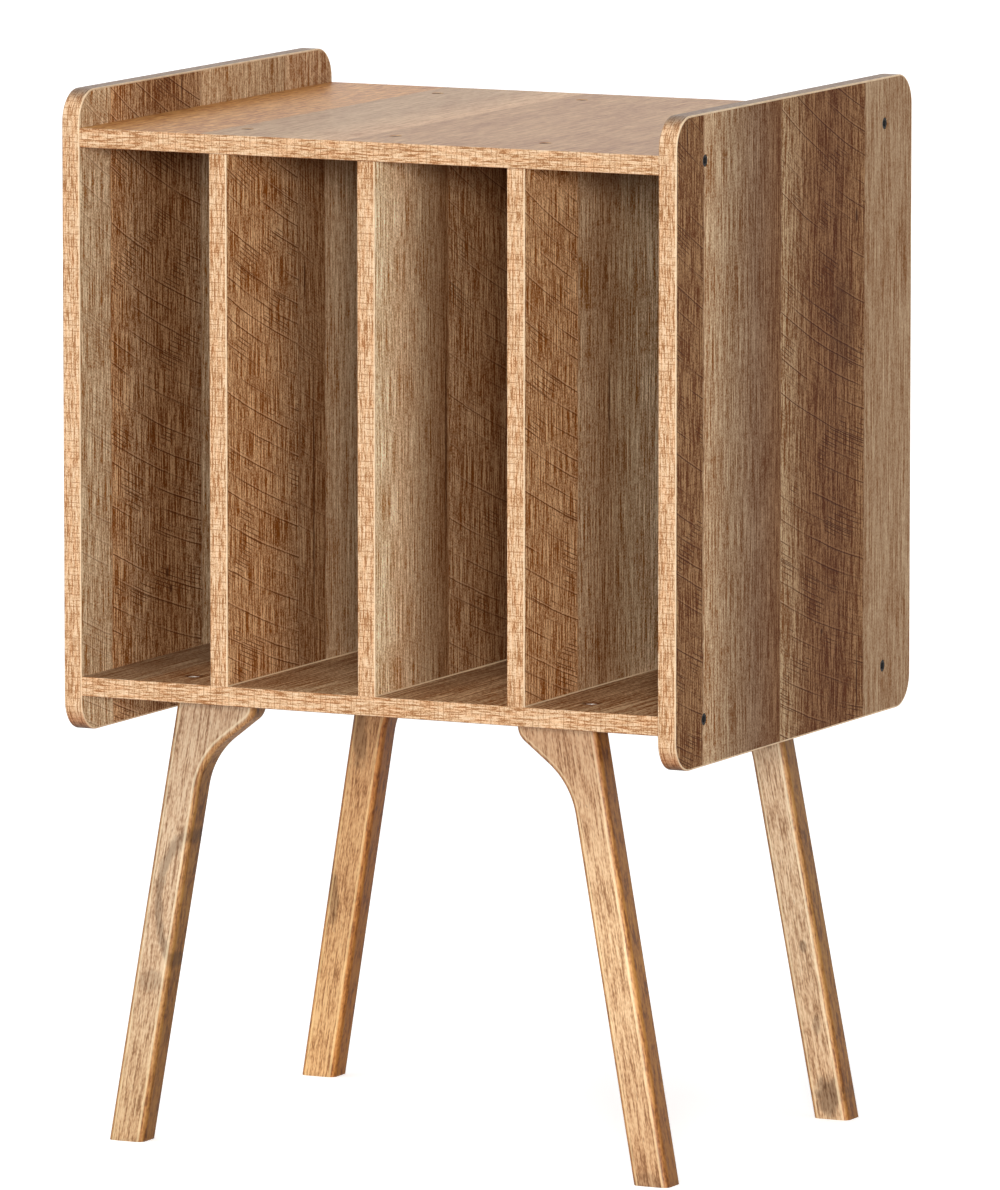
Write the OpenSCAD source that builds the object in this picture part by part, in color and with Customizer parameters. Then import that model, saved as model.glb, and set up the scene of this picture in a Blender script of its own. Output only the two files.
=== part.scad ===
// Record storage stand: a laminated board cabinet with four upright bays for 12-inch
// records, a flat top between two raised side lips, and four splayed solid wood legs.
// The origin is on the ground under the middle of the stand. +X is to the right,
// +Y to the back and +Z up. All sizes are in millimetres, all angles in degrees.

/* [Cabinet] */
// Clear width of each record bay
bay_w = 90; // [80:1:110]
// Clear height of the record bays
bay_h = 330; // [318:1:360]
// Depth of the cabinet, front to back
depth = 345; // [330:1:380]
// Height of the side panels above the top panel
lip_h = 23; // [20:1:40]
// Reach of the side panels below the floor panel
skirt_h = 23; // [20:1:40]
// Radius of the side panels' corners
corner_r = 20; // [6:1:20]

/* [Boards] */
// Thickness of the boards
board_t = 12; // [12:1:18]
// Thickness of the edge banding
banding_t = 1; // [0.5:0.1:2]

/* [Back panel] */
// Thickness of the back panel
back_t = 3; // [2:0.5:5]
// Distance from the cabinet's rear edges to the back panel
back_inset = 10; // [6:1:16]
// Depth of the grooves that hold the back panel
groove_d = 5; // [3:0.5:6]
// Clearance round the back panel in its grooves
groove_play = 0.2; // [0.1:0.05:0.4]

/* [Legs] */
// Height of the legs, from the ground to the floor panel
leg_h = 283; // [200:1:350]
// Width of a leg across its slope
leg_w = 24; // [20:1:32]
// Thickness of a leg, front to back
leg_t = 20; // [18:1:26]
// Lean of the legs to the sides
leg_splay = 10; // [0:0.5:14]
// Rounding of the legs' long edges
leg_edge_r = 5; // [1:0.5:6]
// Distance from the cabinet's side to the outer top corner of a leg
leg_side_inset = 66; // [60:1:76]
// Distance from the cabinet's front edge to the front legs
leg_front_inset = 24; // [18:1:50]
// Distance from the cabinet's rear edge to the tops of the rear legs
leg_rear_inset = 46; // [18:1:60]
// Lean of the rear legs to the back
leg_rake = 2; // [0:0.5:5]

/* [Leg brackets] */
// Reach of the bracket at a leg's top, from the leg's outer top corner
bracket_reach = 54; // [46:1:66]
// Height of the upright end of the bracket
bracket_end_h = 3.5; // [2:0.5:8]
// Radius of the bracket's rounded tip
bracket_tip_r = 12; // [6:1:14]
// Slope of the bracket's lower edge
bracket_slope = 38; // [32:1:48]
// Radius of the blend from the bracket into the leg
bracket_blend_r = 50; // [20:1:56]

/* [Cabinet screws] */
// Diameter of the screw heads
screw_head_d = 7.3; // [7:0.1:8.5]
// Height of the screw heads
screw_head_h = 3.5; // [3:0.5:5]
// Depth of the screw heads below the board's face
screw_sink = 0.4; // [0.2:0.1:1]
// Diameter of the screw shanks
screw_d = 5; // [4:0.1:6]
// Length of the screws, head included
screw_l = 40; // [32:1:50]
// Distance from the front and rear edges to the screws in the side and top panels
screw_end_inset = 41; // [36:1:60]
// Gap along the floor panel between a leg and the screws into the dividers
screw_leg_gap = 16; // [10:1:30]
// Width of the hexagon sockets, across their corners
socket_w = 4.6; // [4:0.1:5]
// Depth of the hexagon sockets
socket_depth = 2.4; // [1.5:0.1:2.8]

/* [Leg bolts] */
// Diameter of the leg bolts' shanks
bolt_d = 5; // [4:0.5:5.5]
// Diameter of the leg bolts' heads
bolt_head_d = 8.5; // [8:0.1:10]
// Height of the leg bolts' heads
bolt_head_h = 5; // [4:0.5:6]
// Depth of the bolt heads below the floor panel's face
bolt_sink = 0.6; // [0.2:0.1:1]
// Depth in a leg at which its bolt meets the leg's centre line
bolt_aim = 30; // [22:1:32]
// Diameter of the threaded inserts in the legs
insert_d = 8; // [7.5:0.1:8.5]
// Length of the threaded inserts
insert_l = 20; // [14:1:30]

/* [Dowels] */
// Diameter of the cabinet's dowels
dowel_d = 6; // [5:0.5:7]
// Length of the cabinet's dowels
dowel_l = 30; // [24:1:40]
// Distance from the middle to the dowels between side panels and boards
dowel_side_y = 50; // [30:1:70]
// Diameter of the legs' dowels
leg_dowel_d = 8; // [6:0.5:8]
// Length of the legs' dowels
leg_dowel_l = 24; // [18:1:28]
// Distance from a bracket's tip to the dowel in it
leg_dowel_inset = 24; // [18:1:26]
// Reach of every dowel into a board's face
dowel_bite = 8; // [6:0.5:9]

/* [Clearances] */
// Clearance round the screw and bolt heads
head_play = 0.25; // [0.1:0.05:0.5]
// Clearance round shanks, inserts and dowels
hole_play = 0.05; // [0.02:0.01:0.2]
// Clearance beyond the ends of screws and dowels
end_play = 0.5; // [0.2:0.1:1]

/* [Hidden] */
$fn = 64;

// Numbering of the sides, ends and dividers
LEFT = -1;
RIGHT = 1;
FRONT = -1;
REAR = 1;
bays = 4;

// Widths and places from side to side
inner_w = bays * bay_w + (bays - 1) * board_t;
inner_x = inner_w / 2;
outer_x = inner_x + board_t;
bay_pitch = bay_w + board_t;
divider_x = [for (i = [1 : bays - 1]) (i - bays / 2) * bay_pitch];

// Heights above the ground
floor_under_z = leg_h;
floor_top_z = floor_under_z + board_t;
top_under_z = floor_top_z + bay_h;
top_face_z = top_under_z + board_t;
side_bottom_z = floor_under_z - skirt_h;
side_top_z = top_face_z + lip_h;
floor_mid_z = floor_under_z + board_t / 2;
top_mid_z = top_under_z + board_t / 2;
side_h = side_top_z - side_bottom_z;

// Places from front to back
edge_y = depth / 2;
back_rear_y = edge_y - back_inset;
back_front_y = back_rear_y - back_t;
screw_y = edge_y - screw_end_inset;
leg_front_y = -edge_y + leg_front_inset + leg_t / 2;
leg_rear_y = edge_y - leg_rear_inset - leg_t / 2;
floor_screw_offset = leg_t / 2 + screw_leg_gap;

// A leg, seen from the front, from its outer top corner: x to the middle, z up
leg_slope = tan(leg_splay);
leg_top_w = leg_w / cos(leg_splay);
leg_corner_x = outer_x - leg_side_inset;
leg_over = leg_w;
bolt_x = leg_top_w / 2 - bolt_aim * leg_slope;
leg_dowel_x = bracket_reach - leg_dowel_inset;

// The leg bolts end just inside the inserts' lower ends
bolt_l = board_t - bolt_sink + insert_l - 2 * end_play;

// How far a cut reaches past the face that it opens
cut = 1;

// Finishes
LAMINATE = [0.55, 0.42, 0.31];
LAMINATE_TOP = [0.67, 0.54, 0.41];
BANDING = [0.84, 0.67, 0.47];
BACKBOARD = [0.50, 0.39, 0.29];
LEG_WOOD = [0.74, 0.56, 0.38];
DOWEL_WOOD = [0.86, 0.74, 0.55];
BLACK_STEEL = [0.08, 0.08, 0.08];
BRIGHT_STEEL = [0.75, 0.75, 0.76];
BRASS = [0.78, 0.64, 0.34];

// ---- Shapes used more than once ----

// A rectangle with round corners, centred
module rounded_rect(w, h, r) {
    square([w - 2 * r, h], center = true);
    square([w, h - 2 * r], center = true);
    for (x = [-1, 1], y = [-1, 1])
        translate([x * (w / 2 - r), y * (h / 2 - r)])
            circle(r);
}

// The outline of a side panel, drawn inwards from its outer edge by an inset
module side_outline(inset) {
    rounded_rect(depth - 2 * inset, side_h - 2 * inset, corner_r - inset);
}

// Stands a side panel's outline upright on the right-hand side of the cabinet
module stand_on_right_side() {
    translate([inner_x, 0, (side_bottom_z + side_top_z) / 2])
        rotate([90, 0, 90])
            linear_extrude(board_t)
                children();
}

// A countersunk hexagon socket screw or bolt that points down from a face at z = 0
module socket_screw(head_d, head_h, sink, shank_d, length) {
    tip_h = shank_d / 2;
    difference() {
        union() {
            translate([0, 0, -sink - head_h])
                cylinder(d = head_d, h = head_h);
            translate([0, 0, -sink - length + tip_h])
                cylinder(d = shank_d, h = length - tip_h - head_h);
            translate([0, 0, -sink - length])
                cylinder(d1 = shank_d / 2, d2 = shank_d, h = tip_h);
        }
        translate([0, 0, -sink - socket_depth])
            cylinder(d = socket_w, h = socket_depth + cut, $fn = 6);
    }
}

// The stepped hole that such a screw sits in
module socket_screw_hole(head_d, head_h, sink, shank_d, length) {
    translate([0, 0, -sink - head_h])
        cylinder(d = head_d + 2 * head_play, h = sink + head_h + cut);
    translate([0, 0, -sink - length - end_play])
        cylinder(d = shank_d + 2 * hole_play, h = length + end_play);
}

module cabinet_screw() {
    socket_screw(screw_head_d, screw_head_h, screw_sink, screw_d, screw_l);
}

module cabinet_screw_hole() {
    socket_screw_hole(screw_head_d, screw_head_h, screw_sink, screw_d, screw_l);
}

module leg_bolt() {
    socket_screw(bolt_head_d, bolt_head_h, bolt_sink, bolt_d, bolt_l);
}

module leg_bolt_hole() {
    socket_screw_hole(bolt_head_d, bolt_head_h, bolt_sink, bolt_d, bolt_l);
}

// A dowel across a joint at z = 0, with its shorter end in the board's face above
module dowel(d, length) {
    chamfer = d / 8;
    translate([0, 0, dowel_bite - length]) {
        cylinder(d1 = d - 2 * chamfer, d2 = d, h = chamfer);
        translate([0, 0, chamfer])
            cylinder(d = d, h = length - 2 * chamfer);
        translate([0, 0, length - chamfer])
            cylinder(d1 = d, d2 = d - 2 * chamfer, h = chamfer);
    }
}

module dowel_hole(d, length) {
    translate([0, 0, dowel_bite - length - end_play])
        cylinder(d = d + 2 * hole_play, h = length + 2 * end_play);
}

// ---- Places of the fasteners, for the pieces and for their holes ----

// Screws through one side panel: pointing inwards
module at_side_screws(side) {
    for (y = [FRONT, REAR], z = [floor_mid_z, top_mid_z])
        translate([side * outer_x, y * screw_y, z])
            rotate([0, side * 90, 0])
                children();
}

// Screws through the top panel into the dividers: pointing down
module at_top_screws() {
    for (x = divider_x, y = [FRONT, REAR])
        translate([x, y * screw_y, top_face_z])
            children();
}

// Screws through the floor panel into the dividers: pointing up
module at_floor_screws() {
    for (x = divider_x, y = [leg_front_y + floor_screw_offset, leg_rear_y - floor_screw_offset])
        translate([x, y, floor_under_z])
            rotate([180, 0, 0])
                children();
}

// Dowels between one side panel and the top and floor panels
module at_side_dowels(side) {
    for (y = [FRONT, REAR], z = [floor_mid_z, top_mid_z])
        translate([side * inner_x, y * dowel_side_y, z])
            rotate([0, side * 90, 0])
                children();
}

// Dowels between the dividers and the top panel, halfway back
module at_top_dowels() {
    for (x = divider_x)
        translate([x, 0, top_under_z])
            children();
}

// Dowels between the dividers and the floor panel, halfway back
module at_floor_dowels() {
    for (x = divider_x)
        translate([x, 0, floor_top_z])
            rotate([180, 0, 0])
                children();
}

// One leg's own frame: its outer top corner, with x towards the middle
module at_leg(side, end) {
    translate([side * leg_corner_x, end == FRONT ? leg_front_y : leg_rear_y, leg_h])
        mirror([side == RIGHT ? 1 : 0, 0, 0])
            children();
}

module at_legs() {
    for (side = [LEFT, RIGHT], end = [FRONT, REAR])
        at_leg(side, end)
            children();
}

// ---- Cabinet ----

// The grooves' outline from above: the back panel with its play
module back_groove() {
    groove_w = inner_w + 2 * groove_d;
    groove_h = bay_h + 2 * groove_d;
    translate([-groove_w / 2, back_front_y - groove_play, floor_top_z - groove_d])
        cube([groove_w, back_t + 2 * groove_play, groove_h]);
}

module back_panel() {
    panel_w = inner_w + 2 * (groove_d - groove_play);
    panel_h = bay_h + 2 * (groove_d - groove_play);
    color(BACKBOARD)
        translate([-panel_w / 2, back_front_y, floor_top_z - groove_d + groove_play])
            cube([panel_w, back_t, panel_h]);
}

module side_panel(side) {
    color(LAMINATE)
        difference() {
            mirror([side == LEFT ? 1 : 0, 0, 0])
                stand_on_right_side()
                    side_outline(banding_t);
            back_groove();
            at_side_screws(side)
                cabinet_screw_hole();
            at_side_dowels(side)
                dowel_hole(dowel_d, dowel_l);
        }
}

// The banding round a side panel's edge
module side_edging(side) {
    color(BANDING)
        mirror([side == LEFT ? 1 : 0, 0, 0])
            stand_on_right_side()
                difference() {
                    side_outline(0);
                    side_outline(banding_t);
                }
}

// A board between the side panels, without the banding on its front and rear edges
module level_board(under_z) {
    translate([-inner_x, -edge_y + banding_t, under_z])
        cube([inner_w, depth - 2 * banding_t, board_t]);
}

// The banding on the front and rear edges of a board between the side panels
module level_edging(under_z) {
    color(BANDING)
        for (y = [-edge_y, edge_y - banding_t])
            translate([-inner_x, y, under_z])
                cube([inner_w, banding_t, board_t]);
}

module top_panel() {
    color(LAMINATE_TOP)
        difference() {
            level_board(top_under_z);
            back_groove();
            for (side = [LEFT, RIGHT]) {
                at_side_screws(side)
                    cabinet_screw_hole();
                at_side_dowels(side)
                    dowel_hole(dowel_d, dowel_l);
            }
            at_top_screws()
                cabinet_screw_hole();
            at_top_dowels()
                dowel_hole(dowel_d, dowel_l);
        }
}

module floor_panel() {
    color(LAMINATE)
        difference() {
            level_board(floor_under_z);
            back_groove();
            for (side = [LEFT, RIGHT]) {
                at_side_screws(side)
                    cabinet_screw_hole();
                at_side_dowels(side)
                    dowel_hole(dowel_d, dowel_l);
            }
            at_floor_screws()
                cabinet_screw_hole();
            at_floor_dowels()
                dowel_hole(dowel_d, dowel_l);
            at_legs() {
                translate([bolt_x, 0, board_t])
                    leg_bolt_hole();
                translate([leg_dowel_x, 0, 0])
                    dowel_hole(leg_dowel_d, leg_dowel_l);
            }
        }
}

// An upright divider, from its front banding back to the back panel
module divider(x) {
    front_y = -edge_y + banding_t;
    color(LAMINATE)
        difference() {
            translate([x - board_t / 2, front_y, floor_top_z])
                cube([board_t, back_front_y - front_y, bay_h]);
            at_top_screws()
                cabinet_screw_hole();
            at_floor_screws()
                cabinet_screw_hole();
            at_top_dowels()
                dowel_hole(dowel_d, dowel_l);
            at_floor_dowels()
                dowel_hole(dowel_d, dowel_l);
        }
}

module divider_edging(x) {
    color(BANDING)
        translate([x - board_t / 2, -edge_y, floor_top_z])
            cube([board_t, banding_t, bay_h]);
}

// ---- Legs ----

// The straight part of a leg: a bar with round edges, longer than the leg at both ends
module leg_shaft() {
    shaft_l = leg_h / cos(leg_splay) + 2 * leg_over;
    translate([leg_top_w / 2, 0, 0])
        rotate([0, leg_splay, 0])
            translate([0, 0, leg_over - shaft_l])
                linear_extrude(shaft_l)
                    rounded_rect(leg_w, leg_t, leg_edge_r);
}

// The space between the ground and the floor panel, round one leg
module leg_room() {
    foot_reach = leg_h * leg_slope + leg_over;
    rake_reach = leg_h * tan(leg_rake) + leg_t;
    translate([-foot_reach, -leg_t, -leg_h])
        cube([foot_reach + bracket_reach + leg_over, leg_t + rake_reach, leg_h]);
}

// The bracket's outline, which reaches above the leg's top as the shaft does. Its lower edge
// runs from the round tip down a straight slope, and a hollow blend carries it into the leg.
module bracket_outline() {
    slope_way = [-cos(bracket_slope), -sin(bracket_slope)];
    slope_out = [sin(bracket_slope), -cos(bracket_slope)];
    leg_way = [-sin(leg_splay), -cos(leg_splay)];
    tip_centre = [bracket_reach - bracket_tip_r, -bracket_end_h];
    slope_start = tip_centre + bracket_tip_r * slope_out;
    slope_fall = cos(bracket_slope) - sin(bracket_slope) * leg_slope;
    slope_l = (slope_start[0] - leg_top_w - slope_start[1] * leg_slope) / slope_fall;
    blend_turn = 90 - bracket_slope - leg_splay;
    blend_l = bracket_blend_r * tan(blend_turn / 2);
    blend_start = slope_start + (slope_l - blend_l) * slope_way;
    blend_end = slope_start + slope_l * slope_way + blend_l * leg_way;
    blend_centre = blend_start + bracket_blend_r * slope_out;
    difference() {
        union() {
            polygon([
                [leg_top_w / 2, leg_over], [bracket_reach, leg_over],
                [bracket_reach, -bracket_end_h],
                tip_centre, slope_start, blend_start, blend_centre, blend_end,
                blend_end - [leg_top_w / 2, 0]
            ]);
            translate(tip_centre)
                circle(bracket_tip_r);
        }
        translate(blend_centre)
            circle(bracket_blend_r, $fn = 128);
    }
}

// A leg leans as a whole, and is then cut level under the floor panel and on the ground
module leg(side, end) {
    color(LEG_WOOD)
        at_leg(side, end)
            difference() {
                intersection() {
                    rotate([end == REAR ? leg_rake : 0, 0, 0]) {
                        leg_shaft();
                        rotate([90, 0, 0])
                            linear_extrude(leg_t, center = true)
                                bracket_outline();
                    }
                    leg_room();
                }
                translate([bolt_x, 0, -insert_l])
                    cylinder(d = insert_d + 2 * hole_play, h = insert_l + cut);
                translate([leg_dowel_x, 0, 0])
                    dowel_hole(leg_dowel_d, leg_dowel_l);
            }
}

// ---- Fasteners ----

module side_screws(side) {
    color(BLACK_STEEL)
        at_side_screws(side)
            cabinet_screw();
}

module top_screws() {
    color(BLACK_STEEL)
        at_top_screws()
            cabinet_screw();
}

module floor_screws() {
    color(BLACK_STEEL)
        at_floor_screws()
            cabinet_screw();
}

module leg_bolts() {
    color(BRIGHT_STEEL)
        at_legs()
            translate([bolt_x, 0, board_t])
                leg_bolt();
}

module leg_inserts() {
    color(BRASS)
        at_legs()
            translate([bolt_x, 0, -insert_l])
                difference() {
                    cylinder(d = insert_d, h = insert_l);
                    translate([0, 0, -cut])
                        cylinder(d = bolt_d + 2 * hole_play, h = insert_l + 2 * cut);
                }
}

module leg_dowels() {
    color(DOWEL_WOOD)
        at_legs()
            translate([leg_dowel_x, 0, 0])
                dowel(leg_dowel_d, leg_dowel_l);
}

module side_dowels() {
    color(DOWEL_WOOD)
        for (side = [LEFT, RIGHT])
            at_side_dowels(side)
                dowel(dowel_d, dowel_l);
}

module divider_dowels() {
    color(DOWEL_WOOD) {
        at_top_dowels()
            dowel(dowel_d, dowel_l);
        at_floor_dowels()
            dowel(dowel_d, dowel_l);
    }
}

side_panel(LEFT);  // left_side_panel
side_panel(RIGHT);  // right_side_panel
top_panel();
floor_panel();
divider(divider_x[0]);  // left_divider
divider(divider_x[1]);  // middle_divider
divider(divider_x[2]);  // right_divider
back_panel();
side_edging(LEFT);  // left_side_edging
side_edging(RIGHT);  // right_side_edging
level_edging(top_under_z);  // top_edging
level_edging(floor_under_z);  // floor_edging
divider_edging(divider_x[0]);  // left_divider_edging
divider_edging(divider_x[1]);  // middle_divider_edging
divider_edging(divider_x[2]);  // right_divider_edging
leg(LEFT, FRONT);  // front_left_leg
leg(RIGHT, FRONT);  // front_right_leg
leg(LEFT, REAR);  // rear_left_leg
leg(RIGHT, REAR);  // rear_right_leg
side_screws(LEFT);  // left_side_screws
side_screws(RIGHT);  // right_side_screws
top_screws();
floor_screws();
leg_bolts();
leg_inserts();
leg_dowels();
side_dowels();
divider_dowels();
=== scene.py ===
"""The looks of the record storage stand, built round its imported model.

The boards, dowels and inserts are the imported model's own pieces with new finishes. The legs, the edge
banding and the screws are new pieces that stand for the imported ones, in the same places.
"""

import math

import bmesh
import bpy
from mathutils import Matrix, Vector


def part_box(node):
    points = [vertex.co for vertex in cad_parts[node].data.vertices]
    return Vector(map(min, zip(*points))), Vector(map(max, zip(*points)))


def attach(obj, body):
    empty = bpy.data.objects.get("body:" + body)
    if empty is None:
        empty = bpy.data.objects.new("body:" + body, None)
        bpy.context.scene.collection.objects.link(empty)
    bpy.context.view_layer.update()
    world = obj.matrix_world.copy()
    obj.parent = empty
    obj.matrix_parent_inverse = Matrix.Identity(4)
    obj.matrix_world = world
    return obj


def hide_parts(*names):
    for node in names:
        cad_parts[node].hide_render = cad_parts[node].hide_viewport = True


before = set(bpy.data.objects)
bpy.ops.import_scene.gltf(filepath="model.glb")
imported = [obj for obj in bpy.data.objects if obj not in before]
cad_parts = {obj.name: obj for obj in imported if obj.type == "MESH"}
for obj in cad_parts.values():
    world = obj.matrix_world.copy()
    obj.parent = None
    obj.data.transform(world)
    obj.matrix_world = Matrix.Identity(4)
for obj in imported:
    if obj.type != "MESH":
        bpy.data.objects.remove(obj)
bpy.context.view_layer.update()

MM = 0.001
WELD = 0.01 * MM
LEVEL = 0.1 * MM
RIGHT = Vector((1, 0, 0))
BACK = Vector((0, 1, 0))

# Camera, where the photograph was taken from
CAMERA_AT = (3.4594, -7.0338, 1.3859)
CAMERA_YAW = 26.145
CAMERA_PITCH = -7.62
FOCAL_LENGTH = 382.4
SENSOR = 36.0

# Light
SUN_STRENGTH = 2.6
SUN_TOWARD = (0.42, -0.90, 0.17)
SUN_SIZE = 14
TOP_STRENGTH = 0.9
TOP_TOWARD = (-0.25, -0.45, 0.86)
TOP_SIZE = 60
FILL_STRENGTH = 0.45
FILL_TOWARD = (-0.60, 0.75, 0.45)
FILL_SIZE = 60
SKY_GREY = 0.30
FLOOR_SIDE = 60.0
FLOOR_GREY = 0.92
FLOOR_GLOW = 0.60
FLOOR_GAP = 0.1 * MM
FLOOR_NEAR = 2 * MM

# Cabinet
side_low, side_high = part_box("right_side_edging")
floor_low, floor_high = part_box("floor_panel")
SIDE_DEPTH = side_high.y - side_low.y
SIDE_HEIGHT = side_high.z - side_low.z
SIDE_MIDDLE = (side_high.z + side_low.z) / 2
FRONT = side_low.y
CORNER_RADIUS = 20 * MM
ARRIS = 0.4 * MM
BOLT_HEAD = 8.5 * MM
BOLT_SHADE = 7 * MM

# Legs
LEG_THICKNESS = 20 * MM
LEG_TOP = floor_low.z
LEG_OUTER_TOP = 144 * MM
LEG_SPLAY = math.radians(10)
LEG_RAKE = {"front": 0.0, "rear": math.radians(2)}
LEG_ACROSS = 24 * MM / math.cos(LEG_SPLAY)
LEG_EDGE = 4.5 * MM
LEG_EDGE_STEPS = 5
LEG_FACE = {end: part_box(end + "_right_leg")[0].y for end in LEG_RAKE}
BRACKET_REACH = 54 * MM
BRACKET_END = 3.5 * MM
BRACKET_TIP = 12 * MM
BRACKET_SLOPE = math.radians(38)
BRACKET_BLEND = 50 * MM
TIP_STEPS = 8
BLEND_STEPS = 12

# Edges: the least angle that counts as an arris, the most that shades smooth, and what counts as flat
ARRIS_ANGLE = math.radians(50)
SMOOTH_ANGLE = math.radians(35)
FLAT_ANGLE = math.radians(0.2)


# Shaders


def srgb(red, green, blue):
    """A display colour, 0 to 255, as the linear colour that a shader takes."""
    shares = [value / 255 for value in (red, green, blue)]
    return tuple(s / 12.92 if s <= 0.04045 else ((s + 0.055) / 1.055) ** 2.4 for s in shares) + (1.0,)


def grey(value):
    return (value, value, value, 1.0)


class Wire:
    """One value in a finish's nodes. Arithmetic on it adds Math nodes."""

    def __init__(self, finish, socket):
        self.finish = finish
        self.socket = socket

    def math(self, operation, *values):
        inputs = dict(enumerate(values))
        return self.finish.node("Math", inputs, operation=operation)

    def __add__(self, other):
        return self.math("ADD", self, other)

    def __sub__(self, other):
        return self.math("SUBTRACT", self, other)

    def __mul__(self, other):
        return self.math("MULTIPLY", self, other)

    def __truediv__(self, other):
        return self.math("DIVIDE", self, other)

    def __pow__(self, other):
        return self.math("POWER", self, other)

    def __rsub__(self, other):
        return self.math("SUBTRACT", other, self)

    __radd__ = __add__
    __rmul__ = __mul__

    def __abs__(self):
        return self.math("ABSOLUTE", self)

    def most(self, other):
        return self.math("MAXIMUM", self, other)

    def rise(self, low, high):
        """0 up to low and 1 from high on, or the other way round where high is below low."""
        span = {"Value": self, "From Min": low, "From Max": high}
        return self.finish.node("MapRange", span, interpolation_type="SMOOTHSTEP")


class Finish:
    """A procedural material: a Principled shader, and the nodes that feed it."""

    def __init__(self, name, **constants):
        self.material = bpy.data.materials.new(name)
        self.material.use_nodes = True
        self.nodes = self.material.node_tree.nodes
        self.links = self.material.node_tree.links
        self.shader = self.nodes["Principled BSDF"]
        for socket, value in constants.items():
            self.feed(socket.replace("_", " "), value)

    def node(self, kind, inputs, output=0, stops=(), **settings):
        """Adds one node: its settings first, then the values or links of its sockets."""
        made = self.nodes.new("ShaderNode" + kind)
        for name, value in settings.items():
            setattr(made, name, value)
        for place, (position, colour) in enumerate(stops):
            if place < 2:
                stop = made.color_ramp.elements[place]
                stop.position = position
            else:
                stop = made.color_ramp.elements.new(position)
            stop.color = colour
        for socket, value in inputs.items():
            self.plug(made.inputs[socket], value)
        return Wire(self, made.outputs[output])

    def plug(self, socket, value):
        if isinstance(value, Wire):
            self.links.new(value.socket, socket)
        else:
            socket.default_value = value

    def feed(self, socket, value):
        self.plug(self.shader.inputs[socket], value)

    def place(self, source="Object"):
        """The x, y and z of a point on the piece, in millimetres."""
        point = self.node("TexCoord", {}, output=source)
        scaled = self.node("VectorMath", {0: point, "Scale": 1 / MM}, operation="SCALE")
        return [self.node("SeparateXYZ", {0: scaled}, output=axis) for axis in "XYZ"]

    def facing(self):
        """The x, y and z of the surface's own direction, each without its sign."""
        normal = self.node("TexCoord", {}, output="Normal")
        return [abs(self.node("SeparateXYZ", {0: normal}, output=axis)) for axis in "XYZ"]

    def point(self, x, y, z):
        return self.node("CombineXYZ", {"X": x, "Y": y, "Z": z})

    def noise(self, x, y, z, detail=2.0, roughness=0.5):
        """Soft noise about 0, where one unit of x, y or z is about one blob."""
        inputs = {"Vector": self.point(x, y, z), "Scale": 1.0, "Detail": detail, "Roughness": roughness}
        return self.node("TexNoise", inputs) - 0.5

    def cuts(self, along, spacing, half_width):
        """Thin lines square to a direction, at uneven steps of about the spacing: 1 on a line."""
        cells = {"W": along / spacing, "Scale": 1.0, "Randomness": 1.0}
        away = self.node("TexVoronoi", cells, voronoi_dimensions="1D", feature="DISTANCE_TO_EDGE")
        return (away * spacing).rise(half_width, half_width * 0.35)

    def ramp(self, value, stops):
        return self.node("ValToRGB", {"Fac": value}, stops=stops)

    def mix(self, first, second, share, how="MIX"):
        inputs = {0: share, 6: first, 7: second}
        return self.node("Mix", inputs, output=2, data_type="RGBA", blend_type=how)

    def tint(self, colour, by):
        return self.mix(colour, by + (1.0,), 1.0, "MULTIPLY")

    def bump(self, height, depth, strength=1.0):
        inputs = {"Height": height, "Distance": depth, "Strength": strength}
        self.feed("Normal", self.node("Bump", inputs))


# Printed planks of the laminate, from a board's front or left edge. Each plank is its width in mm, how
# strongly the saw has marked it, how strong its grain is, and its tones from edge to edge.
CREAM = srgb(238, 206, 165)
SAND = srgb(227, 189, 149)
PALE_TAN = srgb(206, 170, 132)
GREY_TAN = srgb(194, 155, 118)
TAN = srgb(178, 143, 108)
GREY_BROWN = srgb(158, 124, 93)
STONE = srgb(133, 99, 73)
HONEY = srgb(193, 142, 98)
RUSSET = srgb(172, 130, 93)
CHESTNUT = srgb(160, 119, 84)
ASH = srgb(166, 131, 99)
UMBER = srgb(148, 104, 68)
COCOA = srgb(133, 91, 57)
DARK_BROWN = srgb(122, 81, 50)
DEEP_BROWN = srgb(114, 73, 44)
GREY_RUSSET = srgb(163, 126, 91)
GOLDEN = srgb(194, 136, 78)
TOP_TAN = srgb(177, 137, 98)
TOP_PALE = srgb(211, 165, 121)
ROSE_TAN = srgb(176, 129, 86)

RIGHT_SIDE_PLANKS = (
    (39, 1.0, 1.2, (COCOA,)),
    (111, 0.0, 1.25, (GREY_TAN, GREY_BROWN, STONE, DARK_BROWN)),
    (124, 1.0, 1.0, (GREY_RUSSET, DARK_BROWN, DEEP_BROWN, COCOA)),
    (71, 0.0, 0.7, (ASH,)),
)
LEFT_SIDE_PLANKS = (
    (41, 0.5, 0.95, (PALE_TAN,)),
    (122, 1.0, 1.15, (HONEY, RUSSET, UMBER, UMBER, CHESTNUT)),
    (117, 0.0, 1.1, (PALE_TAN, TAN)),
    (65, 0.3, 0.9, (GREY_TAN, RUSSET)),
)
LEFT_DIVIDER_PLANKS = (
    (98, 1.0, 1.0, (HONEY, HONEY, CHESTNUT)),
    (36, 0.5, 1.0, (CHESTNUT, UMBER)),
    (120, 0.0, 1.0, (GREY_TAN, TAN)),
    (91, 0.6, 0.9, (UMBER,)),
)
MIDDLE_DIVIDER_PLANKS = (
    (101, 0.2, 0.95, (CREAM, SAND, TAN, COCOA)),
    (130, 0.8, 1.05, (RUSSET, UMBER, UMBER)),
    (114, 0.0, 0.9, (TAN, GREY_BROWN)),
)
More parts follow.
